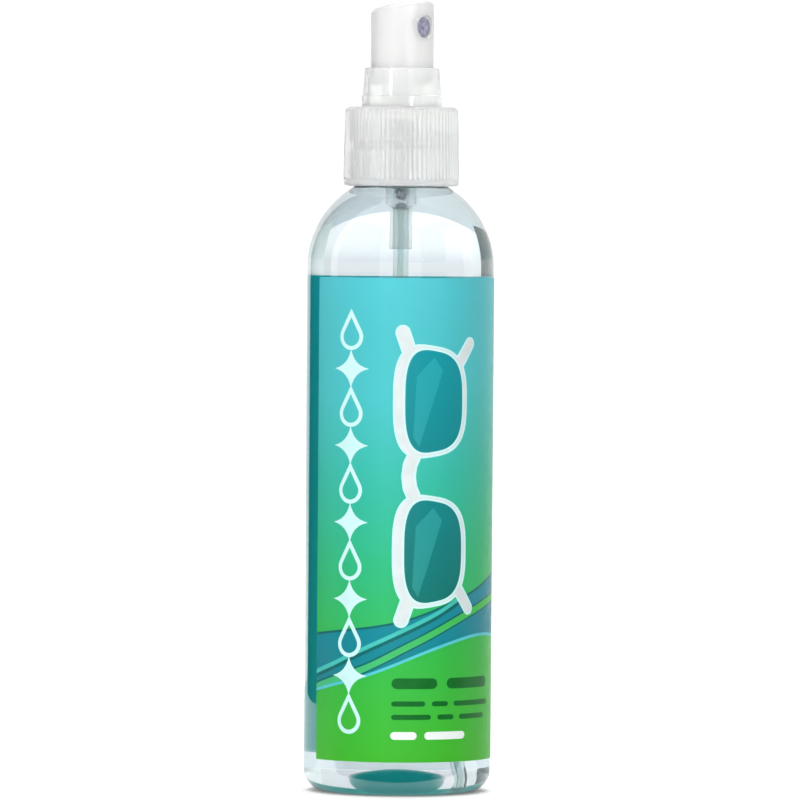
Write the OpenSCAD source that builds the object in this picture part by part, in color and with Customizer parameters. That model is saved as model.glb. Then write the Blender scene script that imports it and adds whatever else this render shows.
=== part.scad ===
// Fine mist spray bottle for spectacle lens cleaner: a clear round bottle with a wrap label,
// a ribbed screw closure, and a finger pump with a mist head that swivels on its stem.
// Millimetres, +Z up. The origin is the centre of the ring that the bottle stands on.
// The label's front faces -Y. Heights in the pump are measured from the bottle's rim.

/* [Bottle] */
// Outside radius of the bottle's body
body_r = 21.8; // [21.4:0.1:22.2]
// Height where the straight wall ends and the dome begins
dome_z = 122.4; // [121.6:0.1:122.8]
// Height of the rim at the top of the neck
rim_z = 157; // [156.5:0.1:157.5]
// Wall thickness of the body and the dome
wall = 0.6; // [0.4:0.1:0.8]
// Radius of the rounded edge at the base
base_edge_r = 5; // [4.5:0.1:5.5]
// Height of the push-up under the base
push_up_h = 4.6; // [4:0.1:4.8]
// Thickness of the floor over the push-up
floor_t = 0.9; // [0.7:0.1:1.1]
// Radius where the push-up meets the standing ring
push_up_r = 14; // [13.5:0.1:14.5]
// Outside radius of the neck
neck_r = 10.8; // [10.7:0.05:10.85]
// Radius of the neck's bore
neck_bore_r = 9.2; // [9:0.1:9.4]
// Fill height of the cleaning fluid
fill_z = 143; // [142:0.5:146]

/* [Screw thread] */
// Rise of the thread in one turn
pitch = 3.175; // [3.1:0.025:3.2]
// Crest radius of the bottle's thread
thread_crest_r = 11.9; // [11.8:0.05:11.95]
// Turns of thread on the bottle and in the closure
thread_turns = 1.5; // [1.25:0.25:1.5]
// Free height between the flanks that bear on each other
flank_gap = 0.15; // [0.1:0.05:0.3]

/* [Label] */
// Lower edge of the label
label_low_z = 8; // [7:0.1:10]
// Upper edge of the label
label_top_z = 120.2; // [110:0.1:121]
// Thickness of the label
label_t = 0.1; // [0.1:0.05:0.15]
// Angle from +X, counter-clockwise seen from above, where the label's left edge lies
label_edge_deg = 211; // [205:1:220]
// Angle that the label leaves open at its seam
label_open_deg = 36; // [20:1:45]

/* [Closure] */
// Outside radius of the closure's skirt at its lower edge
skirt_r = 13.55; // [13.5:0.05:13.7]
// Outside radius of the closure's skirt at its top
skirt_top_r = 13.25; // [13.2:0.05:13.4]
// Radius of the skirt's bore
skirt_bore_r = 12.2; // [12.15:0.05:12.3]
// Number of gripping ribs
ribs = 72; // [60:6:84]
// Height of the plain lip under the ribs
lip_h = 1.4; // [1:0.1:2]
// Radius of the band that an overcap would snap on
cap_band_r = 9.4; // [9.3:0.05:9.5]
// Height of that band
cap_band_h = 2.6; // [2:0.1:3]
// Height of the tower around the head, over the closure's deck
tower_h = 9.1; // [8.5:0.1:9.3]
// Radius of the tower's bore
tower_bore_r = 7.75; // [7.7:0.05:7.85]

/* [Head] */
// Outside radius of the head
head_r = 7.35; // [7.2:0.05:7.4]
// Height of the head's top over the rim, at its axis
head_top_h = 26.5; // [26:0.1:27]
// Slope of the finger face, rising towards the nozzle
head_slope = 10; // [8:0.5:11]
// Direction of the nozzle from +X, counter-clockwise seen from above
nozzle_deg = -40; // [-180:1:180]
// Height of the nozzle's axis over the rim
nozzle_h = 21.5; // [21:0.1:21.8]
// Radius of the round recess in front of the nozzle
recess_r = 2.75; // [2.6:0.05:2.8]
// How far the head travels when it is pressed
stroke = 4.5; // [4:0.1:4.5]

/* [Pump] */
// Outside radius of the pump housing's barrel, inside the neck
barrel_r = 4.3; // [4.2:0.05:4.4]
// Radius of the pump chamber's bore
chamber_r = 3; // [2.95:0.01:3.05]
// Outside radius of the section under the barrel, around the ball valve
valve_section_r = 2.75; // [2.7:0.05:2.9]
// Outside radius of the tail that holds the dip tube
tail_r = 1.98; // [1.9:0.02:2.1]
// Outside radius of the stem
stem_r = 1.6; // [1.55:0.01:1.62]
// Radius of the inlet ball
ball_r = 1.4; // [1.35:0.01:1.42]
// Wire thickness of the return spring
wire_d = 0.5; // [0.4:0.05:0.55]
// Mean radius of the return spring
spring_r = 2.3; // [2.2:0.05:2.35]
// Number of turns of the return spring
spring_turns = 7; // [6:1:7]

/* [Dip tube] */
// Outside radius of the dip tube
tube_r = 1.35; // [1.3:0.01:1.36]
// Radius of the dip tube's bore
tube_bore_r = 0.5; // [0.4:0.05:0.8]
// Bend radius of the dip tube, which curves towards +X
tube_bend_r = 620; // [600:10:700]
// Height where the dip tube begins to curve
tube_bend_z = 122; // [121:0.5:123]
// Height of the dip tube's lower end
tube_end_z = 3.6; // [3.4:0.1:6]

/* [Hidden] */
$fn = 96;
eps = 0.01;

// Running and standing gaps
slip_gap = 0.04;      // radial gap of a shaft that turns or slides in its bore
face_gap = 0.03;      // gap of two faces that rest on each other
fluid_gap = 0.05;     // gap between the fluid and the solids that it wets

// Bottle: the inside follows the outside at the wall's thickness
inner_r = body_r - wall;
edge_centre_r = body_r - base_edge_r;
push_up_sphere_r = (push_up_r * push_up_r + push_up_h * push_up_h) / (2 * push_up_h);
push_up_centre_z = push_up_h - push_up_sphere_r;

// Threads: both have the same flank angle
thread_sink = 0.3;         // how far a thread is rooted in its wall
thread_root_half = 0.95;   // half width of the bottle's thread at the neck
thread_crest_half = 0.35;  // half width of the bottle's thread at its crest
flank = (thread_root_half - thread_crest_half) / (thread_crest_r - neck_r);
thread_rise = pitch * thread_turns;
thread_start_z = rim_z - 2.1 - thread_rise;
nut_crest_r = neck_r + 0.3;
nut_crest_half = 0.4;
nut_root_half = nut_crest_half + flank * (skirt_bore_r - nut_crest_r);
nut_drop = thread_root_half + nut_crest_half - flank * (nut_crest_r - neck_r) + flank_gap;
thread_step = 5;           // degrees from one ring of the thread to the next
thread_fade = 25;          // degrees over which a thread grows out of its wall

// Closure
skirt_low_z = rim_z - 15.6;
deck_low_z = rim_z + 2.05;
deck_z = rim_z + 2.9;
rib_depth = 0.5;
deck_edge_r = 1.2;
cone_r = cap_band_r - 0.25;
tower_top_r = cone_r - 0.4;
tower_edge_r = 0.3;
collar_hole_r = 4.8;

// Pump stack, as heights over the rim
gasket_t = 1 - face_gap;
flange_low = 1;
flange_t = 0.6;
turret_flange_t = 0.4;
collar_r = 4.6;
collar_top = 10;
plug_low = -2.2;
counterbore_r = 3.6;
chamber_top = -3;
spring_seat = -17;
barrel_low = -18.2;
seat_top = -21.4;
seat_low = -22.6;
valve_low = -23;
tail_top = -23.6;
tube_seat = -23.8;
tail_low = -31.3;
valve_bore_r = 1.9;
inlet_r = 0.7;
vent_h = -5;
vent_r = 0.3;
lug_low = -18.4;
ball_h = -21.28;

// Plunger stack, as heights over the rim with the head up
poppet_low = -9.5;
poppet_flange_low = -6.9;
poppet_flange_t = 0.9;
hub_low = poppet_flange_low + poppet_flange_t + face_gap;
hub_t = 1.7;
piston_slip = 0.6;
stem_low = hub_low + hub_t + piston_slip + face_gap;
stem_collar_t = 0.57;
stem_top = 18.5;
spigot_r = 1.15;

// Head, as heights over the rim with the head up
head_low = 7.9;
head_wall = 0.9;
boss_low = 15;
boss_r = 3.2;
insert_r = 2.28;
insert_face_r = 6.6;

// ---------------------------------------------------------------- shared shapes

// A ring with its axis on Z, between two heights
module ring(r_out, r_in, low, high) {
    difference() {
        translate([0, 0, low]) cylinder(r = r_out, h = high - low);
        translate([0, 0, low - 1]) cylinder(r = r_in, h = high - low + 2);
    }
}

// A disc with its axis on Z, between two heights
module disc(r, low, high) {
    translate([0, 0, low]) cylinder(r = r, h = high - low);
}

// The bottle's half outline from the base to the top of the dome, less a thickness t
module body_outline(t) {
    edge_r = base_edge_r - t;
    difference() {
        union() {
            translate([0, base_edge_r]) square([body_r - t, dome_z - base_edge_r]);
            translate([0, base_edge_r - edge_r]) square([edge_centre_r, edge_r + 1]);
            intersection() {
                translate([edge_centre_r, base_edge_r]) circle(r = edge_r);
                translate([edge_centre_r, 0]) square([base_edge_r, base_edge_r]);
            }
            intersection() {
                translate([0, dome_z]) circle(r = body_r - t);
                translate([0, dome_z]) square([body_r, body_r]);
            }
        }
        translate([0, push_up_centre_z]) circle(r = push_up_sphere_r + (t > 0 ? floor_t + t - wall : 0));
    }
}

// The space inside the bottle, less a gap
module cavity(gap) {
    rotate_extrude()
        intersection() {
            union() {
                body_outline(wall + gap);
                translate([0, dome_z]) square([neck_bore_r - gap, rim_z + 1 - dome_z]);
            }
            square([body_r, rim_z + 1]);
        }
}

// How far a thread has grown out of its wall, from 0 at its ends to 1
function grown(deg, turns) = max(0.04, min(1, deg / thread_fade, (360 * turns - deg) / thread_fade));

// One ring of a thread: two points in the wall and two on the crest
function thread_ring(deg, turns, root_r, crest_r, root_half, crest_half, z0) =
    let (z = z0 + pitch * deg / 360)
    let (r = root_r + (crest_r - root_r) * grown(deg, turns))
    [for (p = [[root_r, -root_half], [r, -crest_half], [r, crest_half], [root_r, root_half]])
        [p[0] * cos(deg), p[0] * sin(deg), z + p[1]]];

// A right-hand thread. It stands outward when crest_r is over root_r, and inward when it is under
module thread(turns, root_r, crest_r, root_half, crest_half, z0) {
    steps = round(360 * turns / thread_step);
    points = [for (i = [0:steps])
        each thread_ring(i * thread_step, turns, root_r, crest_r, root_half, crest_half, z0)];
    sides = [for (i = [0:steps - 1]) for (k = [0:3])
        [4 * i + k, 4 * i + (k + 1) % 4, 4 * i + 4 + (k + 1) % 4, 4 * i + 4 + k]];
    caps = [[3, 2, 1, 0], [4 * steps, 4 * steps + 1, 4 * steps + 2, 4 * steps + 3]];
    outward = concat(sides, caps);
    inward = [for (f = outward) [f[3], f[2], f[1], f[0]]];
    polyhedron(points = points, faces = crest_r > root_r ? outward : inward, convexity = 8);
}

// The space that the dip tube fills, at radius r and from z_low up
module tube_path(r, z_low) {
    bend_deg = asin((tube_bend_z - z_low) / tube_bend_r);
    disc(r, tube_bend_z, rim_z + tube_seat);
    translate([tube_bend_r, 0, tube_bend_z]) rotate([90, 0, 0]) rotate([0, 0, 180])
        rotate_extrude(angle = bend_deg, $fn = 1440)
            translate([tube_bend_r, 0]) circle(r = r, $fn = 48);
}

// Moves its children to the head's frame: +X along the nozzle, z = 0 at the rim
module in_head() {
    translate([0, 0, rim_z]) rotate([0, 0, nozzle_deg]) children();
}

// A rod along +X at the nozzle's height, in the head's frame
module nozzle_rod(r, from, to) {
    translate([from, 0, nozzle_h]) rotate([0, 90, 0]) cylinder(r = r, h = to - from);
}

// ---------------------------------------------------------------- bottle, label and fluid

module bottle() color([0.86, 0.93, 0.94, 0.35]) {
    difference() {
        rotate_extrude() {
            body_outline(0);
            translate([0, dome_z]) square([neck_r, rim_z - dome_z]);
        }
        cavity(0);
    }
    thread(thread_turns, neck_r - thread_sink, thread_crest_r,
        thread_root_half + flank * thread_sink, thread_crest_half, thread_start_z);
}

module label() color([0.30, 0.78, 0.55]) {
    skin_r = body_r + face_gap;
    wedge = 2 * body_r;
    difference() {
        ring(skin_r + label_t, skin_r, label_low_z, label_top_z);
        rotate([0, 0, label_edge_deg - label_open_deg]) translate([0, 0, label_low_z - 1])
            linear_extrude(label_top_z - label_low_z + 2)
                polygon([
                    [0, 0],
                    [wedge, 0],
                    [wedge * cos(label_open_deg), wedge * sin(label_open_deg)]
                ]);
    }
}

// The fluid leaves a passage around the pump and the dip tube, which are drawn up through it
module cleaning_fluid() color([0.80, 0.93, 0.92, 0.4]) {
    slot = tube_r + 2 * fluid_gap;
    lift = 7.2;
    difference() {
        intersection() {
            cavity(fluid_gap);
            disc(body_r, 0, fill_z);
        }
        disc(barrel_r + fluid_gap, rim_z + barrel_low - fluid_gap, rim_z);
        disc(valve_section_r + fluid_gap, rim_z + tail_top - fluid_gap, rim_z);
        disc(tail_r + fluid_gap, rim_z + tail_low - fluid_gap, rim_z);
        translate([0, slot, 0]) rotate([90, 0, 0]) linear_extrude(2 * slot)
            intersection() {
                difference() {
                    translate([tube_bend_r, tube_bend_z])
                        circle(r = tube_bend_r + slot, $fn = 1440);
                    translate([tube_bend_r, tube_bend_z + lift])
                        circle(r = tube_bend_r - slot, $fn = 1440);
                }
                translate([-slot, 0]) square([body_r, rim_z + tail_low + 1]);
            }
    }
}

// ---------------------------------------------------------------- closure

// The outline of the skirt's ribs: flat crests, to be turned down to the skirt's draft
module rib_outline() {
    step = 360 / ribs;
    crest = skirt_r + 0.2;
    root = skirt_r - rib_depth;
    polygon([for (i = [0:ribs - 1]) for (p = [[0.05, root], [0.3, crest], [0.7, crest], [0.95, root]])
        [p[1] * cos((i + p[0]) * step), p[1] * sin((i + p[0]) * step)]]);
}

module closure() color([0.92, 0.92, 0.90, 0.8]) {
    difference() {
        union() {
            intersection() {
                translate([0, 0, skirt_low_z + lip_h])
                    linear_extrude(deck_z - skirt_low_z) rib_outline();
                rotate_extrude() {
                    polygon([
                        [0, skirt_low_z],
                        [skirt_r, skirt_low_z],
                        [skirt_top_r, deck_z - deck_edge_r],
                        [skirt_top_r - deck_edge_r, deck_z],
                        [0, deck_z]
                    ]);
                    intersection() {
                        translate([skirt_top_r - deck_edge_r, deck_z - deck_edge_r])
                            circle(r = deck_edge_r);
                        translate([skirt_top_r - deck_edge_r, deck_z - deck_edge_r])
                            square(deck_edge_r);
                    }
                }
            }
            disc(skirt_r - 0.1, skirt_low_z, skirt_low_z + lip_h + eps);
            disc(cap_band_r, deck_z - eps, deck_z + cap_band_h);
            translate([0, 0, deck_z])
                cylinder(r1 = cone_r, r2 = tower_top_r, h = tower_h);
        }
        disc(skirt_bore_r, skirt_low_z - 1, deck_low_z);
        disc(collar_hole_r, deck_low_z - 1, deck_z + 1);
        disc(tower_bore_r, deck_z, deck_z + tower_h + 1);
        translate([0, 0, deck_z + tower_h - tower_edge_r])
            cylinder(r1 = tower_bore_r, r2 = tower_bore_r + 2 * tower_edge_r, h = 2 * tower_edge_r);
    }
    thread(thread_turns, skirt_bore_r + thread_sink, nut_crest_r,
        nut_root_half + flank * thread_sink, nut_crest_half, thread_start_z - nut_drop);
}

module gasket() color([0.95, 0.95, 0.93]) {
    ring(skirt_bore_r - 0.6, barrel_r + 0.1, rim_z + face_gap, rim_z + face_gap + gasket_t);
}

// ---------------------------------------------------------------- pump, fixed under the closure

module pump_housing() color([0.93, 0.94, 0.93, 0.8]) translate([0, 0, rim_z]) {
    difference() {
        union() {
            disc(neck_r - 0.2, flange_low, flange_low + flange_t);
            disc(barrel_r, barrel_low, flange_low + eps);
            disc(valve_section_r, valve_low, barrel_low + eps);
            translate([0, 0, tail_top])
                cylinder(r1 = tail_r, r2 = valve_section_r, h = valve_low - tail_top + eps);
            disc(tail_r, tail_low, tail_top + eps);
        }
        disc(counterbore_r, chamber_top, flange_low + flange_t + 1);
        disc(chamber_r, spring_seat, chamber_top + 1);
        disc(valve_bore_r, seat_top, spring_seat + 1);
        translate([0, 0, seat_low]) cylinder(r1 = inlet_r, r2 = valve_bore_r, h = seat_top - seat_low);
        disc(inlet_r, tube_seat - 1, seat_low + eps);
        disc(tube_r + 0.02, tail_low - 1, tube_seat);
        translate([0, 0, vent_h]) rotate([0, 90, 0]) cylinder(r = vent_r, h = barrel_r + 1);
    }
    for (deg = [0:120:240])
        rotate([0, 0, deg]) translate([1.1, -0.3, lug_low]) cube([valve_bore_r - 0.9, 0.6, 0.6]);
}

// The guide that closes the housing's top. Its collar is also the head's lower stop
module turret() color([0.90, 0.91, 0.90, 0.85]) translate([0, 0, rim_z]) {
    flange_z = flange_low + flange_t;
    difference() {
        union() {
            disc(counterbore_r - 0.02, plug_low, flange_z + eps);
            disc(6.5, flange_z, flange_z + turret_flange_t);
            disc(collar_r, flange_z, collar_top);
        }
        disc(stem_r + 0.5, plug_low - 1, collar_top - 2);
        disc(stem_r + 2 * slip_gap, collar_top - 3, collar_top + 1);
    }
}

module stem_seal() color([0.35, 0.36, 0.38]) translate([0, 0, rim_z]) {
    ring(counterbore_r - 0.05, stem_r + slip_gap, chamber_top, plug_low);
}

module inlet_ball() color([0.75, 0.76, 0.78]) translate([0, 0, rim_z + ball_h]) {
    sphere(r = ball_r);
}

// Height of the spring's wire after a number of turns: a closed turn at each end, open between
function wire_z(turn) =
    let (end_pitch = wire_d + 0.1)
    let (length = poppet_flange_low - spring_seat - 2 * face_gap - wire_d)
    let (open_pitch = (length - 2 * end_pitch) / (spring_turns - 2))
    end_pitch * min(turn, 1)
    + open_pitch * max(0, min(turn - 1, spring_turns - 2))
    + end_pitch * max(0, turn - (spring_turns - 1));

module return_spring() color([0.72, 0.73, 0.75]) {
    sides = 8;
    per_turn = 24;
    steps = spring_turns * per_turn;
    z0 = rim_z + spring_seat + face_gap + wire_d / 2;
    points = [for (i = [0:steps]) for (k = [0:sides - 1])
        let (deg = 360 * i / per_turn, side = 360 * k / sides)
        let (r = spring_r + wire_d / 2 * cos(side))
        [r * cos(deg), r * sin(deg), z0 + wire_z(i / per_turn) + wire_d / 2 * sin(side)]];
    skin = [for (i = [0:steps - 1]) for (k = [0:sides - 1])
        [sides * i + k, sides * i + (k + 1) % sides,
            sides * (i + 1) + (k + 1) % sides, sides * (i + 1) + k]];
    first = [for (k = [sides - 1:-1:0]) k];
    last = [for (k = [0:sides - 1]) sides * steps + k];
    polyhedron(points = points, faces = concat(skin, [first, last]), convexity = 10);
}

module dip_tube() color([0.90, 0.93, 0.92, 0.7]) {
    difference() {
        tube_path(tube_r, tube_end_z);
        tube_path(tube_bore_r, tube_end_z - 1);
        disc(tube_bore_r, rim_z + tube_seat - 1, rim_z + tube_seat + 1);
        // the lower end is cut on the slant, so that it can't seal on the floor
        translate([tube_bend_r - sqrt(pow(tube_bend_r, 2) - pow(tube_bend_z - tube_end_z, 2)), 0, tube_end_z])
            rotate([0, 35, 0]) translate([-8, -4, -8]) cube([16, 8, 8]);
    }
}

// ---------------------------------------------------------------- plunger

// Lower half of the two-piece stem: its flange rests on the spring and shuts the piston's port
module stem_poppet() color([0.88, 0.89, 0.88]) translate([0, 0, rim_z]) {
    flange_top = poppet_flange_low + poppet_flange_t;
    difference() {
        union() {
            disc(stem_r - 0.2, poppet_low, poppet_flange_low + eps);
            disc(stem_r + 0.7, poppet_flange_low, flange_top);
            disc(stem_r, flange_top - eps, stem_low);
            disc(spigot_r, stem_low - eps, stem_low + 3);
        }
        disc(0.45, flange_top + 0.1, stem_low + 4);
        translate([-3, 0, flange_top + 0.3]) rotate([0, 90, 0]) cylinder(r = 0.18, h = 6);
    }
}

// Two-lipped piston that slides a little on the poppet and so opens its port
module piston() color([0.80, 0.86, 0.90]) translate([0, 0, rim_z]) {
    lip_r = chamber_r - slip_gap;
    rotate_extrude()
        polygon([
            [stem_r + slip_gap, hub_low],
            [stem_r + 0.5, hub_low],
            [stem_r + 0.5, hub_low + 0.4],
            [lip_r - 0.45, hub_low + 0.4],
            [lip_r - 0.2, hub_low - 0.4],
            [lip_r, hub_low - 0.4],
            [lip_r, hub_low + 0.3],
            [lip_r - 0.15, hub_low + 0.8],
            [lip_r, hub_low + 1.3],
            [lip_r, hub_low + 2.1],
            [lip_r - 0.2, hub_low + 2.1],
            [lip_r - 0.45, hub_low + 1.2],
            [stem_r + 0.5, hub_low + 1.2],
            [stem_r + 0.5, hub_low + hub_t],
            [stem_r + slip_gap, hub_low + hub_t]
        ]);
}

module stem() color([0.95, 0.95, 0.94]) translate([0, 0, rim_z]) {
    difference() {
        union() {
            disc(stem_r, stem_low, stem_top);
            disc(stem_r + 0.5, stem_low, stem_low + stem_collar_t);
        }
        disc(spigot_r + 0.02, stem_low - 1, stem_low + 3.1);
        disc(0.75, stem_low, stem_top + 1);
    }
}

// ---------------------------------------------------------------- mist head

// The solid under the finger face, lowered by a depth, in the head's frame
module under_face(r, depth) {
    face_edge_r = 1.2;
    rim_r = head_r + 0.25;
    flare_r = 4 * head_r;
    intersection() {
        disc(r, head_low, head_top_h + head_r);
        translate([0, 0, head_top_h - depth]) rotate([0, -head_slope, 0])
            rotate_extrude()
                polygon(concat(
                    [[0, 0]],
                    [for (deg = [90:-15:0])
                        [rim_r - face_edge_r * (1 - cos(deg)), face_edge_r * (sin(deg) - 1)]],
                    [[flare_r, -head_r], [flare_r, -flare_r], [0, -flare_r]]
                ));
    }
}

module head() color([0.96, 0.96, 0.95]) in_head() {
    dish_r = 30;
    dish_depth = 0.45;
    difference() {
        under_face(head_r, 0);
        difference() {
            under_face(head_r - head_wall, head_wall + 0.2);
            disc(boss_r, boss_low, head_top_h);
            nozzle_rod(recess_r + 0.7, 0, head_r);
        }
        disc(boss_r + 1, head_low - 1, boss_low);
        disc(stem_r + slip_gap, boss_low - 1, stem_top + 0.1);
        disc(0.8, stem_top, nozzle_h);
        nozzle_rod(0.6, 0, 4);
        nozzle_rod(insert_r + 0.02, 3.6, head_r);
        nozzle_rod(recess_r, head_r - 1, head_r + 1);
        translate([0, 0, head_top_h]) rotate([0, -head_slope, 0])
            translate([0, 0, dish_r - dish_depth]) sphere(r = dish_r);
    }
}

// Cup pressed into the head: it makes the swirl chamber and holds the spray hole
module nozzle_insert() color([0.36, 0.33, 0.40]) in_head() {
    difference() {
        nozzle_rod(insert_r, 3.9, insert_face_r);
        nozzle_rod(1.3, 3.8, insert_face_r - 0.9);
        nozzle_rod(0.2, 3.8, insert_face_r + 1);
        translate([insert_face_r - 0.4, 0, nozzle_h]) rotate([0, 90, 0])
            cylinder(r1 = 0.35, r2 = 1.15, h = 0.4 + eps);
    }
}

// ---------------------------------------------------------------- selection

bottle();
label();
cleaning_fluid();
closure();
gasket();
pump_housing();
turret();
stem_seal();
inlet_ball();
return_spring();
dip_tube();
stem_poppet();
piston();
stem();
head();
nozzle_insert();
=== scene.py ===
import math

import bpy
import bmesh
from mathutils import Matrix, Vector
from mathutils.geometry import delaunay_2d_cdt


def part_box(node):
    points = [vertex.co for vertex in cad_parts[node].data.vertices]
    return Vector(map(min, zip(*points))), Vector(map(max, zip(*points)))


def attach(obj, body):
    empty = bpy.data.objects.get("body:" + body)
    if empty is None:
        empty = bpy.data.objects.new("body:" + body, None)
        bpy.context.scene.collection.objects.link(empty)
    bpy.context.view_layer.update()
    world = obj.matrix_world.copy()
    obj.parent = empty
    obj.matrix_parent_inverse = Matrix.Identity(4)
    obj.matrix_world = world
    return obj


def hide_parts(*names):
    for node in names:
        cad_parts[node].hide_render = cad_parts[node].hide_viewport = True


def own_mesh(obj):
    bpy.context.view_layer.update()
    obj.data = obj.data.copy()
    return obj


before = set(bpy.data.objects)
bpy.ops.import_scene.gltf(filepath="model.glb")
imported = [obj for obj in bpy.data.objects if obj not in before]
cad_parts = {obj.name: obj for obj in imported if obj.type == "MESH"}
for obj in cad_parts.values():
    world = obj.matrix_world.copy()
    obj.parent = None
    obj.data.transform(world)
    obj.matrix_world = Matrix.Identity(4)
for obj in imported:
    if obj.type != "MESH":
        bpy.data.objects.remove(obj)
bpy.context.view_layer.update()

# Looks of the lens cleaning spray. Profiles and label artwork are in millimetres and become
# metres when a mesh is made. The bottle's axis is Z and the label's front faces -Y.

MM = 0.001


# ---------------------------------------------------------------- sizes from the frame

def box_mm(node):
    """Lowest and highest corner of a CAD node, in millimetres."""
    low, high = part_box(node)
    return [v / MM for v in low], [v / MM for v in high]


BODY_R = box_mm("bottle")[1][0]
RIM_Z = box_mm("bottle")[1][2]
FILL_Z = box_mm("cleaning_fluid")[1][2]
LABEL_R = box_mm("label")[1][1]
LABEL_LOW = box_mm("label")[0][2]
LABEL_TOP = box_mm("label")[1][2]
SKIRT_LOW = box_mm("closure")[0][2]
TOWER_TOP = box_mm("closure")[1][2]
HEAD_LOW = box_mm("head")[0][2]
TUBE_LOW = box_mm("dip_tube")[0][2]
TUBE_TOP = box_mm("dip_tube")[1][2]
SPRING_LOW = box_mm("return_spring")[0][2]
SPRING_TOP = box_mm("return_spring")[1][2]

# Bottle
WALL = 0.6
FLOOR_T = 0.9
EDGE_R = 5.0
PUSH_UP_H = 4.6
PUSH_UP_R = 14.0
DOME_Z = 122.4
NECK_R = 10.8
NECK_BORE_R = 9.2

# Well in the fluid, inside the walls of the pump housing
CHAMBER_WELL_R = 3.9
CHAMBER_WELL_Z = RIM_Z - 17.6
BALL_WELL_R = 2.2
BALL_WELL_Z = RIM_Z - 22.5
FOOT_WELL_R = 1.65
FOOT_WELL_Z = RIM_Z - 24.0
MENISCUS = 0.5

# Mesh detail of the bottle and the fluid
BOTTLE_COLUMNS = 192
WALL_ROW = 12
DOME_STEPS = 40

# Screw thread
PITCH = 3.175
THREAD_TURNS = 1.5
THREAD_CREST_R = 11.9
THREAD_ROOT_HALF = 0.95
THREAD_CREST_HALF = 0.35
THREAD_START_Z = RIM_Z - 2.1 - PITCH * THREAD_TURNS
THREAD_FADE_DEG = 25
NUT_CREST_R = 11.1
NUT_ROOT_HALF = 1.0
NUT_CREST_HALF = 0.4
NUT_START_Z = THREAD_START_Z - 1.34

# Closure
SKIRT_R = 13.52
SKIRT_TOP_R = 13.22
SKIRT_BORE_R = 12.2
RIBS = 72
RIB_DEPTH = 0.26
LIP_H = 1.4
DECK_LOW = RIM_Z + 2.05
DECK_Z = RIM_Z + 2.9
CAP_BAND_R = 9.4
CAP_BAND_TOP = DECK_Z + 2.6
TOWER_BORE_R = 7.75
COLLAR_HOLE_R = 4.8

# Head
HEAD_R = 7.35
HEAD_TOP = RIM_Z + 26.5
HEAD_SLOPE = math.radians(10)
NOZZLE_TURN = math.radians(-40)
NOZZLE_Z = RIM_Z + 21.5
HEAD_WALL = 0.9
BOSS_LOW = RIM_Z + 15
BOSS_R = 3.2
STEM_TOP = RIM_Z + 18.5
STEM_SOCKET_R = 1.64
RECESS_R = 2.75
INSERT_R = 2.28

# Dip tube
TUBE_R = 1.35
TUBE_BORE_R = 0.5
TUBE_BEND_R = 620.0
TUBE_BEND_Z = 122.0

# Return spring
WIRE_D = 0.5
SPRING_R = 2.3
SPRING_TURNS = 7


# ---------------------------------------------------------------- mesh helpers

def to_object(name, bm, smooth_deg=35):
    """A new object from a bmesh in millimetres, smooth except at edges over smooth_deg."""
    bmesh.ops.scale(bm, vec=(MM, MM, MM), verts=bm.verts)
    bmesh.ops.recalc_face_normals(bm, faces=bm.faces)
    mesh = bpy.data.meshes.new(name)
    bm.to_mesh(mesh)
    bm.free()
    mesh.shade_smooth()
    mesh.set_sharp_from_angle(angle=math.radians(smooth_deg))
    obj = bpy.data.objects.new(name, mesh)
    bpy.context.scene.collection.objects.link(obj)
    return obj


def rounded(corners, closed=True, step_deg=15):
    """A profile of (r, z) points from corners (r, z, radius), with an arc at each that has a radius."""
    points = []
    count = len(corners)
    for i, (r, z, radius) in enumerate(corners):
        here = Vector((r, z))
        inside = closed or 0 < i < count - 1
        if radius <= 0 or not inside:
            points.append((r, z))
            continue
        before = Vector(corners[i - 1][:2]) - here
        after = Vector(corners[(i + 1) % count][:2]) - here
        half = before.angle(after) / 2
        reach = min(radius / math.tan(half), 0.49 * before.length, 0.49 * after.length)
        radius = reach * math.tan(half)
        centre = here + (before.normalized() + after.normalized()).normalized() * (radius / math.sin(half))
        start = here + before.normalized() * reach - centre
        end = here + after.normalized() * reach - centre
        steps = max(2, round(math.degrees(start.angle(end)) / step_deg))
        turn = start.angle_signed(end)
        for k in range(steps + 1):
            spoke = start.copy()
            spoke.rotate(Matrix.Rotation(-turn * k / steps, 2))
            points.append(tuple(centre + spoke))
    return points


def arc(centre_r, centre_z, radius, from_deg, to_deg, steps):
    """Points of an arc in the (r, z) plane."""
    turn = [math.radians(from_deg + (to_deg - from_deg) * k / steps) for k in range(steps + 1)]
    return [(centre_r + radius * math.cos(a), centre_z + radius * math.sin(a)) for a in turn]


def lathe(name, profile, columns, shape=None, closed=True, smooth_deg=35):
    """Turns a profile of (r, z) about Z. shape(angle, r, z, row) may move each point."""
    bm = bmesh.new()
    rings = []
    for c in range(columns):
        angle = 2 * math.pi * c / columns
        ring = []
        for row, (r, z) in enumerate(profile):
            if shape:
                r, z = shape(angle, r, z, row)
            ring.append(bm.verts.new((r * math.cos(angle), r * math.sin(angle), z)))
        rings.append(ring)
    last = len(profile) if closed else len(profile) - 1
    for c in range(columns):
        here, there = rings[c], rings[(c + 1) % columns]
        for row in range(last):
            up = (row + 1) % len(profile)
            bm.faces.new((here[row], there[row], there[up], here[up]))
    bmesh.ops.remove_doubles(bm, verts=bm.verts, dist=1e-5)
    bmesh.ops.dissolve_degenerate(bm, edges=bm.edges, dist=1e-6)
    return to_object(name, bm, smooth_deg)


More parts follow.
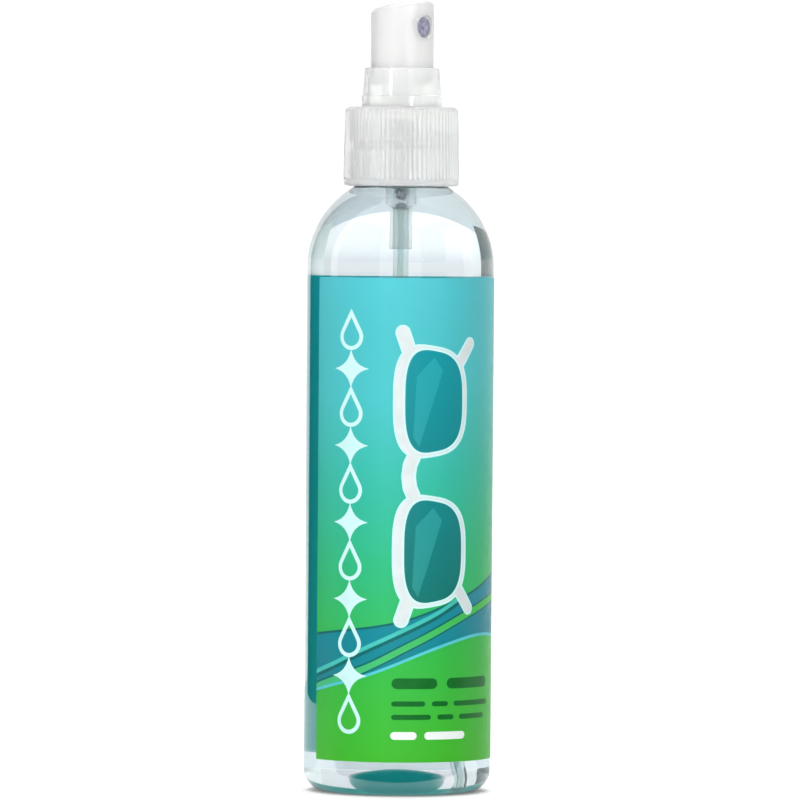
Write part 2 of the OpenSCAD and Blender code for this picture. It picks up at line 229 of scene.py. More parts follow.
def sweep(name, path, frame_at, radius, sides, smooth_deg=50):
    """A round rod along path. frame_at(i) gives its two cross axes at point i."""
    bm = bmesh.new()
    rings = []
    for i, centre in enumerate(path):
        across, along = frame_at(i)
        ring = []
        for k in range(sides):
            a = 2 * math.pi * k / sides
            ring.append(bm.verts.new(centre + radius * (math.cos(a) * across + math.sin(a) * along)))
        rings.append(ring)
    for here, there in zip(rings, rings[1:]):
        for k in range(sides):
            bm.faces.new((here[k], here[(k + 1) % sides], there[(k + 1) % sides], there[k]))
    bm.faces.new(rings[0][::-1])
    bm.faces.new(rings[-1])
    return to_object(name, bm, smooth_deg)


def boolean(obj, tool, operation):
    """Applies a boolean of tool to obj and removes the tool."""
    modifier = obj.modifiers.new("cut", "BOOLEAN")
    modifier.operation = operation
    modifier.solver = "EXACT"
    modifier.object = tool
    apply_modifiers(obj)
    bpy.data.objects.remove(tool)


def apply_modifiers(obj):
    """Makes the object's modified mesh its own mesh."""
    depsgraph = bpy.context.evaluated_depsgraph_get()
    mesh = bpy.data.meshes.new_from_object(obj.evaluated_get(depsgraph))
    obj.modifiers.clear()
    obj.data = mesh


def settle(obj, body, slot, material, *nodes):
    """Gives a finished piece its material, its body and the CAD nodes that it stands for. Its slot is not
    used.
    """
    if material:
        obj.data.materials.clear()
        obj.data.materials.append(material)
    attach(obj, body)
    if nodes:
        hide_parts(*nodes)


# ---------------------------------------------------------------- materials

def linear(colour):
    """An sRGB colour of 0 to 255 as linear RGBA."""
    out = []
    for v in colour:
        v /= 255
        out.append(v / 12.92 if v <= 0.04045 else ((v + 0.055) / 1.055) ** 2.4)
    return (*out, 1.0)


class Surface:
    """A Principled material whose sockets can be driven by patterns in the object's own space."""

    def __init__(self, name, colour, roughness, ior=1.5):
        self.material = bpy.data.materials.new(name)
        self.material.use_nodes = True
        self.nodes = self.material.node_tree.nodes
        self.links = self.material.node_tree.links
        self.shader = self.nodes["Principled BSDF"]
        self.set("Base Color", linear(colour))
        self.set("Roughness", roughness)
        self.set("IOR", ior)

    def set(self, socket, value):
        """One input of the shader."""
        self.shader.inputs[socket].default_value = value

    def node(self, kind, **values):
        """A new node with these settings."""
        made = self.nodes.new(kind)
        for key, value in values.items():
            setattr(made, key, value)
        return made

    def place(self):
        """The object's own coordinates."""
        return self.node("ShaderNodeTexCoord").outputs["Object"]

    def noise(self, scale, detail, stretch=(1, 1, 1)):
        """Noise of a scale per metre, stretched along the object's axes."""
        mapping = self.node("ShaderNodeMapping")
        mapping.inputs["Scale"].default_value = stretch
        self.links.new(self.place(), mapping.inputs["Vector"])
        noise = self.node("ShaderNodeTexNoise")
        noise.inputs["Scale"].default_value = scale
        noise.inputs["Detail"].default_value = detail
        self.links.new(mapping.outputs["Vector"], noise.inputs["Vector"])
        return noise.outputs["Fac"]

    def ramp(self, value, stops):
        """A colour ramp with (place, sRGB colour) stops."""
        ramp = self.node("ShaderNodeValToRGB")
        elements = ramp.color_ramp.elements
        while len(elements) < len(stops):
            elements.new(0.5)
        for element, (at, colour) in zip(elements, stops):
            element.position = at
            element.color = linear(colour)
        self.links.new(value, ramp.inputs["Fac"])
        return ramp.outputs["Color"]

    def span(self, value, low, high, to_low=0.0, to_high=1.0):
        """value moved from between low and high to between to_low and to_high."""
        span = self.node("ShaderNodeMapRange")
        for name, limit in (("From Min", low), ("From Max", high), ("To Min", to_low), ("To Max", to_high)):
            span.inputs[name].default_value = limit
        self.links.new(value, span.inputs["Value"])
        return span.outputs["Result"]

    def along(self, direction):
        """How far a point lies along a direction, in metres."""
        dot = self.node("ShaderNodeVectorMath", operation="DOT_PRODUCT")
        dot.inputs[1].default_value = direction
        self.links.new(self.place(), dot.inputs[0])
        return dot.outputs["Value"]

    def vary_roughness(self, noise, low, high):
        """Roughness between low and high, over the range that noise mostly keeps to."""
        self.links.new(self.span(noise, 0.3, 0.7, low, high), self.shader.inputs["Roughness"])

    def bump(self, value, height_mm, strength):
        """Raises the surface by value times a height."""
        bump = self.node("ShaderNodeBump")
        bump.inputs["Strength"].default_value = strength
        bump.inputs["Distance"].default_value = height_mm * MM
        self.links.new(value, bump.inputs["Height"])
        self.links.new(bump.outputs["Normal"], self.shader.inputs["Normal"])

    def paint(self, colour_output):
        """Drives the colour with a pattern."""
        self.links.new(colour_output, self.shader.inputs["Base Color"])


def pet_material():
    """Clear blown bottle plastic with the faint waviness of its mould."""
    s = Surface("clear_pet", (251, 253, 254), 0.0, 1.575)
    s.set("Transmission Weight", 1.0)
    s.bump(s.noise(90, 2.0, (1, 1, 0.35)), 0.02, 0.5)
    return s.material


def fluid_material():
    """Water-thin cleaner with a faint cool tint and a little waviness where it wets the wall."""
    s = Surface("tinted_fluid", (229, 233, 236), 0.0, 1.333)
    s.set("Transmission Weight", 1.0)
    s.bump(s.noise(45, 2.0, (1, 1, 0.3)), 0.01, 0.3)
    return s.material


def natural_plastic(name, colour, clearness, roughness, ior):
    """Translucent natural polypropylene with flow marks and a fine moulded grain."""
    s = Surface(name, colour, roughness, ior)
    s.set("Transmission Weight", clearness)
    s.set("Subsurface Weight", 0.35)
    s.set("Subsurface Radius", (0.004, 0.004, 0.0036))
    s.set("Subsurface Scale", 0.6)
    flow = s.noise(260, 3.0, (1, 1, 0.25))
    s.vary_roughness(flow, roughness - 0.05, roughness + 0.06)
    s.bump(s.noise(1400, 2.0), 0.004, 0.15)
    return s.material


def steel_material():
    """Drawn stainless wire and balls, with fine marks along the drawing."""
    s = Surface("stainless_steel", (196, 198, 202), 0.2, 2.5)
    s.set("Metallic", 1.0)
    marks = s.noise(1800, 4.0, (1, 1, 6))
    s.vary_roughness(marks, 0.14, 0.3)
    s.bump(marks, 0.003, 0.5)
    return s.material


def rubber_material():
    """Dark moulded seal."""
    s = Surface("seal_rubber", (52, 53, 56), 0.6)
    grain = s.noise(2200, 4.0)
    s.vary_roughness(grain, 0.5, 0.7)
    s.bump(grain, 0.01, 0.6)
    return s.material


def foam_material():
    """Closed-cell foam with fine pores."""
    s = Surface("gasket_foam", (240, 240, 236), 0.85)
    s.set("Subsurface Weight", 0.3)
    s.set("Subsurface Radius", (0.002, 0.002, 0.002))
    cells = s.node("ShaderNodeTexVoronoi")
    cells.inputs["Scale"].default_value = 2600
    s.links.new(s.place(), cells.inputs["Vector"])
    s.bump(cells.outputs["Distance"], 0.03, 0.6)
    return s.material


def insert_material():
    """Grey moulded insert."""
    s = Surface("insert_plastic", (128, 128, 148), 0.35)
    tone = s.noise(900, 3.0)
    s.paint(s.ramp(tone, [(0.3, (104, 104, 126)), (0.7, (150, 150, 168))]))
    s.vary_roughness(tone, 0.28, 0.42)
    s.bump(tone, 0.006, 0.5)
    return s.material


def printed(name, stops, low=None, high=None, direction=(0, 0, 1), gloss=0.37):
    """Printed label film. With low and high, its stops follow a height along direction in millimetres.

    Every ink is multiplied by a painted side shade: a little darker towards both sides of the front, most of
    all to the right, where less light falls on the round label.
    """
    s = Surface(name, stops[0][1], gloss, 1.48)
    grain = s.noise(260, 2.0)
    if low is None:
        base = stops[0][1]
        dark = tuple(max(0, v - 3) for v in base)
        light = tuple(min(255, v + 3) for v in base)
        ink = s.ramp(grain, [(0.35, dark), (0.65, light)])
    else:
        place = s.span(s.along(direction), low * MM, high * MM)
        wobble = s.node("ShaderNodeMath", operation="MULTIPLY_ADD")
        s.links.new(grain, wobble.inputs[0])
        wobble.inputs[1].default_value = 0.02
        s.links.new(place, wobble.inputs[2])
        ink = s.ramp(wobble.outputs["Value"], stops)
    # Painted side shade: a ramp across x darkens the ink towards the left and right of the front, as light
    # falls off round the label, most of all on the right.
    side = s.span(s.along((1, 0, 0)), -BODY_R * MM, BODY_R * MM)
    depth = s.ramp(side, [(0.0, (228, 228, 228)), (0.42, (255, 255, 255)),
                          (0.7, (246, 246, 246)), (0.92, (222, 222, 222))])
    blend = s.node("ShaderNodeMix", data_type="RGBA", blend_type="MULTIPLY")
    blend.inputs["Factor"].default_value = 1.0
    s.links.new(ink, blend.inputs["A"])
    s.links.new(depth, blend.inputs["B"])
    s.paint(blend.outputs["Result"])
    s.vary_roughness(s.noise(420, 2.0), gloss - 0.05, gloss + 0.07)
    s.set("Specular IOR Level", 0.22)
    s.set("Subsurface Weight", 0.3)
    s.set("Subsurface Radius", (0.0004, 0.0004, 0.0004))
    s.set("Subsurface Scale", 1.0)
    return s.material


# ---------------------------------------------------------------- bottle and fluid

def grown(deg, turns):
    """How far a thread has grown out of its wall at an angle along it, 0 to 1."""
    return max(0.0, min(1.0, deg / THREAD_FADE_DEG, (360 * turns - deg) / THREAD_FADE_DEG))


def thread_height(angle, z, start_z, root_half, crest_half):
    """Height of a right-hand thread, 0 to 1, at an angle and a height."""
    height = 0.0
    deg = math.degrees(angle) % 360
    for turn in range(3):
        along = deg + 360 * turn
        off = abs(z - start_z - PITCH * along / 360)
        flank = max(0.0, min(1.0, (root_half - off) / (root_half - crest_half)))
        flank = flank * flank * (3 - 2 * flank)
        height = max(height, flank * grown(along, THREAD_TURNS))
    return height


def base_profile(inset, floor):
    """From the axis over the push-up, the standing ring and the base edge, to the straight wall."""
    sphere_r = (PUSH_UP_R ** 2 + PUSH_UP_H ** 2) / (2 * PUSH_UP_H)
    centre_z = PUSH_UP_H - sphere_r
    radius = sphere_r + floor
    meet = math.degrees(math.asin((inset - centre_z) / radius))
    points = arc(0, centre_z, radius, 90, meet, 20)
    points[0] = (0.0, points[0][1])
    points += arc(BODY_R - EDGE_R, EDGE_R, EDGE_R - inset, -90, 0, 14)
    return points


def wall_rows(low, high, step):
    """Heights from low to high, about step apart."""
    count = max(1, round((high - low) / step))
    return [low + (high - low) * k / count for k in range(count + 1)]


def wall_and_dome(radius, opening):
    """The straight wall and the dome above it, up to just under a neck of radius opening."""
    points = [(radius, z) for z in wall_rows(EDGE_R, DOME_Z, WALL_ROW)[1:-1]]
    return points + arc(0, DOME_Z, radius, 0, math.degrees(math.acos(opening / radius)) - 1, DOME_STEPS)


def make_bottle(material):
    """Blown shell with a push-up base, and a neck whose thread is raised from a fine grid."""
    neck_z = DOME_Z + math.sqrt(BODY_R ** 2 - NECK_R ** 2)
    outer = base_profile(0, 0) + wall_and_dome(BODY_R, NECK_R)
    outer += [(NECK_R + 0.1, neck_z + 0.1), (NECK_R, neck_z + 0.5)]
    outer += [(NECK_R, z) for z in wall_rows(neck_z + 1, RIM_Z - 0.5, 0.16)]
    lip = [(NECK_R, RIM_Z - 0.5, 0), (NECK_R, RIM_Z, 0.3)]
    lip += [(NECK_BORE_R, RIM_Z, 0.2), (NECK_BORE_R, RIM_Z - 0.5, 0)]
    outer += rounded(lip, closed=False)[1:]
    inner_r = BODY_R - WALL
    bore_z = DOME_Z + math.sqrt(inner_r ** 2 - NECK_BORE_R ** 2)
    inner = base_profile(WALL, FLOOR_T) + wall_and_dome(inner_r, NECK_BORE_R)
    inner += [(NECK_BORE_R, bore_z + 0.4), (NECK_BORE_R, bore_z + 6)]

    def shape(angle, r, z, row):
        """Raises the thread on the outside of the neck."""
        if row < len(outer) and r > NECK_R - 0.001 and z > neck_z + 0.9:
            rise = thread_height(angle, z, THREAD_START_Z, THREAD_ROOT_HALF, THREAD_CREST_HALF)
            r += (THREAD_CREST_R - NECK_R) * rise
        return r, z

    profile = outer + inner[::-1]
    bottle = lathe("clear_bottle", profile, BOTTLE_COLUMNS, shape, closed=False, smooth_deg=50)
    settle(bottle, "bottle_body", "clear_bottle", material, "bottle")


def make_fluid(material):
    """The fluid's skin lies inside the walls of the bottle and the pump, so that light bends once.

    The well in its top is the air inside the pump's chamber and around the inlet ball.
    """
    skin = WALL / 2
    radius = BODY_R - skin
    neck = NECK_BORE_R + skin
    points = base_profile(skin, FLOOR_T / 2) + wall_and_dome(radius, neck)
    points += [(neck, FILL_Z), (NECK_BORE_R, FILL_Z)]
    for k in (0.4, 1, 2, 3):
        points.append((NECK_BORE_R - MENISCUS * k, FILL_Z - MENISCUS * (1 - math.exp(-1.5 * k))))
    points += [(CHAMBER_WELL_R, FILL_Z - MENISCUS), (CHAMBER_WELL_R, CHAMBER_WELL_Z)]
    points += [(BALL_WELL_R, CHAMBER_WELL_Z), (BALL_WELL_R, BALL_WELL_Z)]
    points += [(FOOT_WELL_R, FOOT_WELL_Z), (0, FOOT_WELL_Z)]
    fluid = lathe("lens_cleaner_fluid", points, BOTTLE_COLUMNS, closed=False, smooth_deg=60)
    settle(fluid, "bottle_body", "fluid", material, "cleaning_fluid")


# ---------------------------------------------------------------- label artwork

FRONT_LEFT_DEG = -59.0
WRAP_DEG = 324.0
GRID_DEG = 3.0
FILM_T = 0.1
CUT_INSIDE = 1      # the triangulation's mode that keeps only what lies inside the regions
CUT_GAP = 1e-5


def across(deg):
    """Distance round the label, in millimetres, of an angle from its front line."""
    return math.radians(deg) * LABEL_R


def curve(points, deg):
    """A smooth height at an angle, through (angle, height) points."""
    for k in range(len(points) - 1):
        if deg <= points[k + 1][0] or k == len(points) - 2:
            p0 = points[max(k - 1, 0)]
            p1, p2 = points[k], points[k + 1]
            p3 = points[min(k + 2, len(points) - 1)]
            t = (deg - p1[0]) / (p2[0] - p1[0])
            m1 = (p2[1] - p0[1]) / (p2[0] - p0[0]) * (p2[0] - p1[0])
            m2 = (p3[1] - p1[1]) / (p3[0] - p1[0]) * (p2[0] - p1[0])
            return ((2 * t ** 3 - 3 * t ** 2 + 1) * p1[1] + (t ** 3 - 2 * t ** 2 + t) * m1
                    + (3 * t ** 2 - 2 * t ** 3) * p2[1] + (t ** 3 - t ** 2) * m2)


def ribbon(lower, upper, to_deg=FRONT_LEFT_DEG + WRAP_DEG):
    """The region from the label's left edge between two heights, each a function of the angle."""
    wide = to_deg - FRONT_LEFT_DEG
    count = max(8, round(wide / 4))
    angles = [FRONT_LEFT_DEG + wide * k / count for k in range(count + 1)]
    low = [(across(a), lower(a)) for a in angles]
    high = [(across(a), upper(a)) for a in angles]
    return low + high[::-1]


def squircle(u, v, half_u, half_v, power, lean, count=56):
    """A rounded box about (u, v). lean narrows it towards +u."""
    points = []
    for k in range(count):
        a = 2 * math.pi * k / count
        c, s = math.cos(a), math.sin(a)
        du = math.copysign(abs(c) ** (2 / power), c)
        dv = math.copysign(abs(s) ** (2 / power), s)
        points.append((u + half_u * du, v + half_v * dv * (1 - lean * (du + 1) / 2)))
    return points


def capsule(start, end, half, count=10):
    """A bar with round ends."""
    a, b = Vector(start), Vector(end)
    turn = math.atan2(b.y - a.y, b.x - a.x)
    points = []
    for centre, offset in ((b, -math.pi / 2), (a, math.pi / 2)):
        for k in range(count + 1):
            t = turn + offset + math.pi * k / count
            points.append((centre.x + half * math.cos(t), centre.y + half * math.sin(t)))
    return points


def droplet(u, v, radius, count=28):
    """A water drop with its point up."""
    tip = 2.1 * radius
    side = math.acos(radius / tip)
    points = [(u, v + tip)]
    for k in range(count + 1):
        a = math.pi / 2 + side + (2 * math.pi - 2 * side) * k / count
        points.append((u + radius * math.cos(a), v + radius * math.sin(a)))
    return points


def sparkle(u, v, reach, waist=0.16, count=6):
    """A four-pointed glint with hollow sides."""
    points = []
    for quarter in range(4):
        a0 = math.pi / 2 * quarter
        tip = Vector((math.cos(a0), math.sin(a0)))
        nxt = Vector((math.cos(a0 + math.pi / 2), math.sin(a0 + math.pi / 2)))
        corner = (tip + nxt) * waist
        for k in range(count):
            t = k / count
            p = tip * (1 - t) ** 2 + corner * 2 * t * (1 - t) + nxt * t ** 2
            points.append((u + reach * p.x, v + reach * p.y))
    return points


class Artwork:
    """Regions of the label in painting order. A hole shows what lies under its own region."""

    def __init__(self):
        self.regions = []

    def add(self, ink, points, hole=None):
        """Paints a region over the others, with a hole in it if one is given."""
        self.regions.append((ink, points, None))
        if hole:
            parent = len(self.regions) - 1
            self.regions.append((ink, hole, parent))

    def ink_of(self, containing):
        """The ink that shows where these regions overlap."""
        hidden = set()
        for index in sorted(containing, reverse=True):
            ink, _, parent = self.regions[index]
            if parent is not None:
                hidden.add(parent)
            elif index not in hidden:
                return ink
        return None


def wave_art(art):
    """Crossing ribbons that sweep up round the label."""
    top = [(-59, 37.2), (0, 40.4), (45, 46.4), (85, 51.4), (140, 52), (205, 43), (265, 37)]
    low = [(-59, 24.2), (-20, 28), (25, 34.6), (55, 37.2), (85, 36.6), (140, 32), (205, 24), (265, 22)]
    pale = [(-59, 28.4), (-40, 31), (21, 41.8), (50, 47.6), (85, 51.2), (265, 60)]
    green = [(-59, 24.9), (-22, 29.5), (10, 35.6), (48, 42.4), (85, 45.8), (140, 44), (205, 33), (265, 29)]

    def band(points, low_off, high_off):
        """Two heights that follow one curve at two offsets."""
        return lambda a: curve(points, a) + low_off, lambda a: curve(points, a) + high_off

    art.add("wave_shadow", ribbon(lambda a: curve(low, a), lambda a: curve(top, a) + 0.3))
    art.add("wave_deep", ribbon(lambda a: curve(low, a), lambda a: curve(top, a) - 0.25))
    art.add("wave_shadow", ribbon(*band(pale, -1.35, -0.3), to_deg=46))
    art.add("wave_pale", ribbon(*band(pale, -0.5, 0.55), to_deg=44))
    art.add("wave_shadow", ribbon(*band(green, -1.25, 1.2)))
    art.add("wave_green", ribbon(*band(green, -0.85, 0.75)))
    art.add("wave_edge", ribbon(*band(low, -0.35, 0.35)))


def spectacles_art(art):
    """A plain pair of spectacles, drawn on end with the brow side to the left."""
    lens_u, middle_v = across(22.5), 74.3
    lens_reach_u, lens_reach_v, lens_off_v = 7.3, 12.9, 17.4
    rim, brow, edge = 1.0, 0.7, 0.45
    temple, hinge_half, bridge = 1.1, 1.35, 1.25
    power, lean = 3.0, 0.2
    for ink, extra in (("pale", edge), ("frame", 0.0)):
        for side in (-1, 1):
            v = middle_v + side * lens_off_v
            tip = (lens_u + 9.6, v + side * (lens_reach_v + 0.4))
            art.add(ink, capsule(tip, (tip[0] - 3.2, tip[1] - side * 4.4), temple + extra))
            hinge = (lens_u - lens_reach_u - 0.6, v + side * (lens_reach_v + 3.0))
            art.add(ink, capsule(hinge, (hinge[0] + 1.6, hinge[1] - side * 4.6), hinge_half + extra))
            art.add(ink, squircle(lens_u - brow, v, lens_reach_u + rim + brow + extra,
                                  lens_reach_v + rim + extra, power, lean))
            arch = lens_u - lens_reach_u + 0.9
            knee = (arch + 0.35, middle_v + side * 2.6)
            art.add(ink, capsule((arch, middle_v), knee, bridge + extra))
            art.add(ink, capsule(knee, (arch + 1.9, middle_v + side * 6.2), bridge + extra))
    for side in (-1, 1):
        v = middle_v + side * lens_off_v
        art.add("pale", squircle(lens_u, v, lens_reach_u + edge, lens_reach_v + edge, power, lean))
        art.add("lens", squircle(lens_u, v, lens_reach_u, lens_reach_v, power, lean))
        shine = [(-5.4, -8.2), (-4.0, -10.6), (1.8, 7.2), (-0.4, 10.2), (-4.6, 5.8)]
        art.add("shine", [(lens_u + p[0], v + p[1]) for p in shine])


def drops_art(art):
    """A rising column of drops and glints, in the place of a name."""
    u, v = across(-31), 17.5
    marks = 11
    radius, stroke, drop_step = 3.1, 0.95, 9.2
    reach, lift, glint_step = 4.6, 1.2, 8.6
    for k in range(marks):
        if k % 2 == 0:
            art.add("pale", droplet(u, v, radius), droplet(u, v, radius - stroke))
            v += drop_step
        else:
            art.add("pale", sparkle(u, v + lift, reach))
            v += glint_step


def bars_art(art):
    """Plain bars where small print would be, on the front and on the back."""
    for v, half, words in (
        (26.3, 1.25, ((-1.4, 9.6), (12.0, 26.5))),
        (21.6, 0.6, ((-1.4, 6.6), (8.2, 12.4), (14.0, 27.0))),
        (18.5, 0.6, ((-1.4, 8.0), (9.6, 14.0), (15.6, 25.0))),
    ):
        for start, end in words:
            art.add("ink_green", capsule((start + half, v), (end - half, v), half, 6))
    low_v, low_half = 14.2, 0.9
    for start, end in ((-1.6, 4.6), (6.4, 17.4)):
        art.add("white", capsule((start + low_half, low_v), (end - low_half, low_v), low_half, 6))
    left, right = across(128), across(212)
    half = 0.5
    for ink, top, step, lengths in (
        ("white", 104, 3.6, (1.0, 0.86, 0.94, 0.7, 1.0, 0.9, 0.62, 0.96, 0.82, 0.5)),
        ("ink_green", 18, 3, (0.9, 0.98, 0.6)),
    ):
        for k, share in enumerate(lengths):
            v = top - step * k
            art.add(ink, capsule((left, v), (left + (right - left) * share, v), half, 5))


def cut_label(art):
    """Triangles of the flat label, cut along its artwork: points, triangles and the ink of each."""
    left, right = across(FRONT_LEFT_DEG), across(FRONT_LEFT_DEG + WRAP_DEG)
    film = [(left, LABEL_LOW), (right, LABEL_LOW), (right, LABEL_TOP), (left, LABEL_TOP)]
    art.regions.insert(0, ("ground", film, None))
    art.regions = [(i, p, h + 1 if h is not None else None) for i, p, h in art.regions]
    points, edges, faces = [], [], []
    for _, outline, _ in art.regions:
        first = len(points)
        points += [Vector(p) for p in outline]
        faces.append(list(range(first, first + len(outline))))
    for k in range(1, round(WRAP_DEG / GRID_DEG)):
        u = across(FRONT_LEFT_DEG + GRID_DEG * k)
        points += [Vector((u, LABEL_LOW)), Vector((u, LABEL_TOP))]
        edges.append((len(points) - 2, len(points) - 1))
    spots, _, triangles, _, _, origins = delaunay_2d_cdt(points, edges, faces, CUT_INSIDE, CUT_GAP)
    kept, inks = [], []
    for triangle, containing in zip(triangles, origins):
        if 0 in containing:
            kept.append(triangle)
            inks.append(art.ink_of(containing))
    return spots, kept, inks


def make_label(inks):
    """The printed film as a thin shell: artwork outside, the back of the print inside, and its cut edges."""
    art = Artwork()
    wave_art(art)
    spectacles_art(art)
    drops_art(art)
    bars_art(art)
    spots, triangles, colours = cut_label(art)
    names = list(inks)
    inner_r = LABEL_R - FILM_T
    count = len(spots)
    verts = []
    for radius in (LABEL_R, inner_r):
        for p in spots:
            a = p.x / LABEL_R
            verts.append((radius * math.sin(a) * MM, -radius * math.cos(a) * MM, p.y * MM))
    faces = [tuple(t) for t in triangles]
    faces += [tuple(i + count for i in reversed(t)) for t in triangles]
    slots = [names.index(c) for c in colours] + [names.index("inside")] * len(triangles)
    sides = [(t[i], t[(i + 1) % 3]) for t in triangles for i in range(3)]
    known = set(sides)
    for a, b in sides:
        if (b, a) not in known:
            faces.append((b, a, a + count, b + count))
            slots.append(names.index("inside"))
    mesh = bpy.data.meshes.new("printed_label")
    mesh.from_pydata(verts, [], faces)
    for name in names:
        mesh.materials.append(inks[name])
    for polygon, slot in zip(mesh.polygons, slots):
        polygon.material_index = slot
        polygon.use_smooth = True
    normals = []
    skins = 2 * len(triangles)
    for index, polygon in enumerate(mesh.polygons):
        for vertex in polygon.vertices:
            if index < skins:
                p = Vector(verts[vertex])
                out = Vector((p.x, p.y, 0)).normalized()
                normals.append(out if index < len(triangles) else -out)
            else:
                normals.append(polygon.normal)
    mesh.normals_split_custom_set(normals)
    label = bpy.data.objects.new("printed_label", mesh)
    bpy.context.scene.collection.objects.link(label)
    settle(label, "bottle_body", "printed_label", None, "label")


def label_inks():
    """One printed material for each ink of the artwork, and one for the back of the film.

    The back glows a little, as light that comes through the film would make it.
    """
    ground = [(0.0, (72, 186, 10)), (0.3, (50, 182, 70)), (0.48, (45, 182, 126)), (0.62, (53, 183, 160)),
              (0.8, (74, 191, 195)), (1.0, (80, 191, 200))]
    lit = [(0.0, (40, 196, 168)), (0.5, (30, 196, 180)), (1.0, (34, 204, 222))]
    inside = printed("ink_inside", lit, 8, 120, gloss=0.45)
    shader = inside.node_tree.nodes["Principled BSDF"]
    shader.inputs["Emission Color"].default_value = linear((28, 150, 150))
    shader.inputs["Emission Strength"].default_value = 0.75
    return {
        "ground": printed("ink_ground", ground, 6, 128, (-0.12, -0.45, 1)),
        "wave_deep": printed("ink_wave_deep", [(0.0, (8, 130, 140)), (1.0, (8, 138, 158))], 24, 54),
        "wave_shadow": printed("ink_wave_shadow", [(0.0, (2, 102, 100))]),
        "wave_pale": printed("ink_wave_pale", [(0.0, (66, 190, 180))]),
        "wave_green": printed("ink_wave_green", [(0.0, (66, 186, 128)), (1.0, (66, 190, 70))], 24, 46),
        "wave_edge": printed("ink_wave_edge", [(0.0, (84, 196, 206))]),
        "pale": printed("ink_pale", [(0.0, (204, 247, 246))]),
        "frame": printed("ink_frame", [(0.0, (218, 228, 229))]),
        "lens": printed("ink_lens", [(0.0, (5, 114, 106)), (1.0, (14, 148, 159))], 44, 104),
        "shine": printed("ink_shine", [(0.0, (36, 142, 134)), (1.0, (34, 162, 172))], 44, 104),
        "ink_green": printed("ink_dark_green", [(0.0, (0, 108, 34))]),
        "white": printed("ink_white", [(0.0, (244, 250, 246))]),
        "inside": inside,
    }


# ---------------------------------------------------------------- closure and gasket

def make_closure(material):
    """Skirt with a smooth lip and soft ribs, deck, band and tower, with the thread raised in its bore."""
    lip_top = SKIRT_LOW + LIP_H
    edge = 1.2
    skirt = [(SKIRT_BORE_R + 0.2, SKIRT_LOW), (SKIRT_R - 0.45, SKIRT_LOW)]
    skirt += [(SKIRT_R - 0.16, SKIRT_LOW + 0.14), (SKIRT_R - 0.08, SKIRT_LOW + 0.4)]
    skirt += [(SKIRT_R - 0.08, lip_top - 0.12), (SKIRT_R - 0.1, lip_top)]
    rib_first = len(skirt)
    skirt.append((SKIRT_R, lip_top + 0.12))
    lean = (SKIRT_TOP_R - SKIRT_R) / (DECK_Z - lip_top)
    for z in wall_rows(lip_top + 0.3, DECK_Z - edge, 1.2)[:-1]:
        skirt.append((SKIRT_R + lean * (z - lip_top), z))
    ribbed = len(skirt)
    fade_rows = 5
    skirt += arc(SKIRT_TOP_R - edge, DECK_Z - edge, edge, 0, 90, 8)
    tower = rounded([
        (SKIRT_TOP_R - edge - 0.2, DECK_Z, 0),
        (CAP_BAND_R, DECK_Z, 0.25),
        (CAP_BAND_R, CAP_BAND_TOP, 0.3),
        (CAP_BAND_R - 0.25, CAP_BAND_TOP, 0.1),
        (CAP_BAND_R - 0.65, TOWER_TOP, 0.35),
        (TOWER_BORE_R, TOWER_TOP, 0.35),
        (TOWER_BORE_R, DECK_Z, 0.4),
        (COLLAR_HOLE_R, DECK_Z, 0.2),
        (COLLAR_HOLE_R, DECK_LOW, 0.2),
        (SKIRT_BORE_R, DECK_LOW, 0.5),
        (SKIRT_BORE_R, DECK_LOW - 1, 0),
    ], closed=False)
    bore = [(SKIRT_BORE_R, z) for z in wall_rows(SKIRT_LOW + 1.2, DECK_LOW - 1.2, 0.22)[::-1]]
    bore_first = len(skirt) + len(tower)
    profile = skirt + tower + bore + [(SKIRT_BORE_R, SKIRT_LOW + 0.3)]

    def shape(angle, r, z, row):
        """Sinks the grooves between the ribs and raises the thread in the bore."""
        if rib_first <= row < ribbed + fade_rows:
            wave = (0.5 - 0.5 * math.cos(RIBS * angle)) ** 0.7
            start = max(0.0, min(1.0, (z - lip_top) / 0.3))
            fade = 1.0 if row < ribbed else 1 - (row - ribbed) / (fade_rows + 1)
            r -= RIB_DEPTH * wave * start * fade
        elif row >= bore_first:
            rise = thread_height(angle, z, NUT_START_Z, NUT_ROOT_HALF, NUT_CREST_HALF)
            r -= (SKIRT_BORE_R - NUT_CREST_R) * rise
        return r, z

    closure = lathe("screw_closure", profile, RIBS * 8, shape, smooth_deg=50)
    settle(closure, "closure_ring", "natural_closure", material, "closure")


# ---------------------------------------------------------------- head and nozzle

def slope_rise(x, y):
    """Rise of the finger face over its centre."""
    return math.tan(HEAD_SLOPE) * (x * math.cos(NOZZLE_TURN) + y * math.sin(NOZZLE_TURN))


def nozzle_cylinder(name, radius, start, end, columns=48):
    """A cylinder along the nozzle's axis, to cut or join with."""
    bm = bmesh.new()
    bmesh.ops.create_cone(bm, cap_ends=True, segments=columns, radius1=radius, radius2=radius,
                          depth=end - start)
    turn = Matrix.Rotation(NOZZLE_TURN, 4, "Z") @ Matrix.Translation((0, 0, NOZZLE_Z))
    lay = Matrix.Translation(((start + end) / 2, 0, 0)) @ Matrix.Rotation(math.pi / 2, 4, "Y")
    bmesh.ops.transform(bm, matrix=turn @ lay, verts=bm.verts)
    return to_object(name, bm)


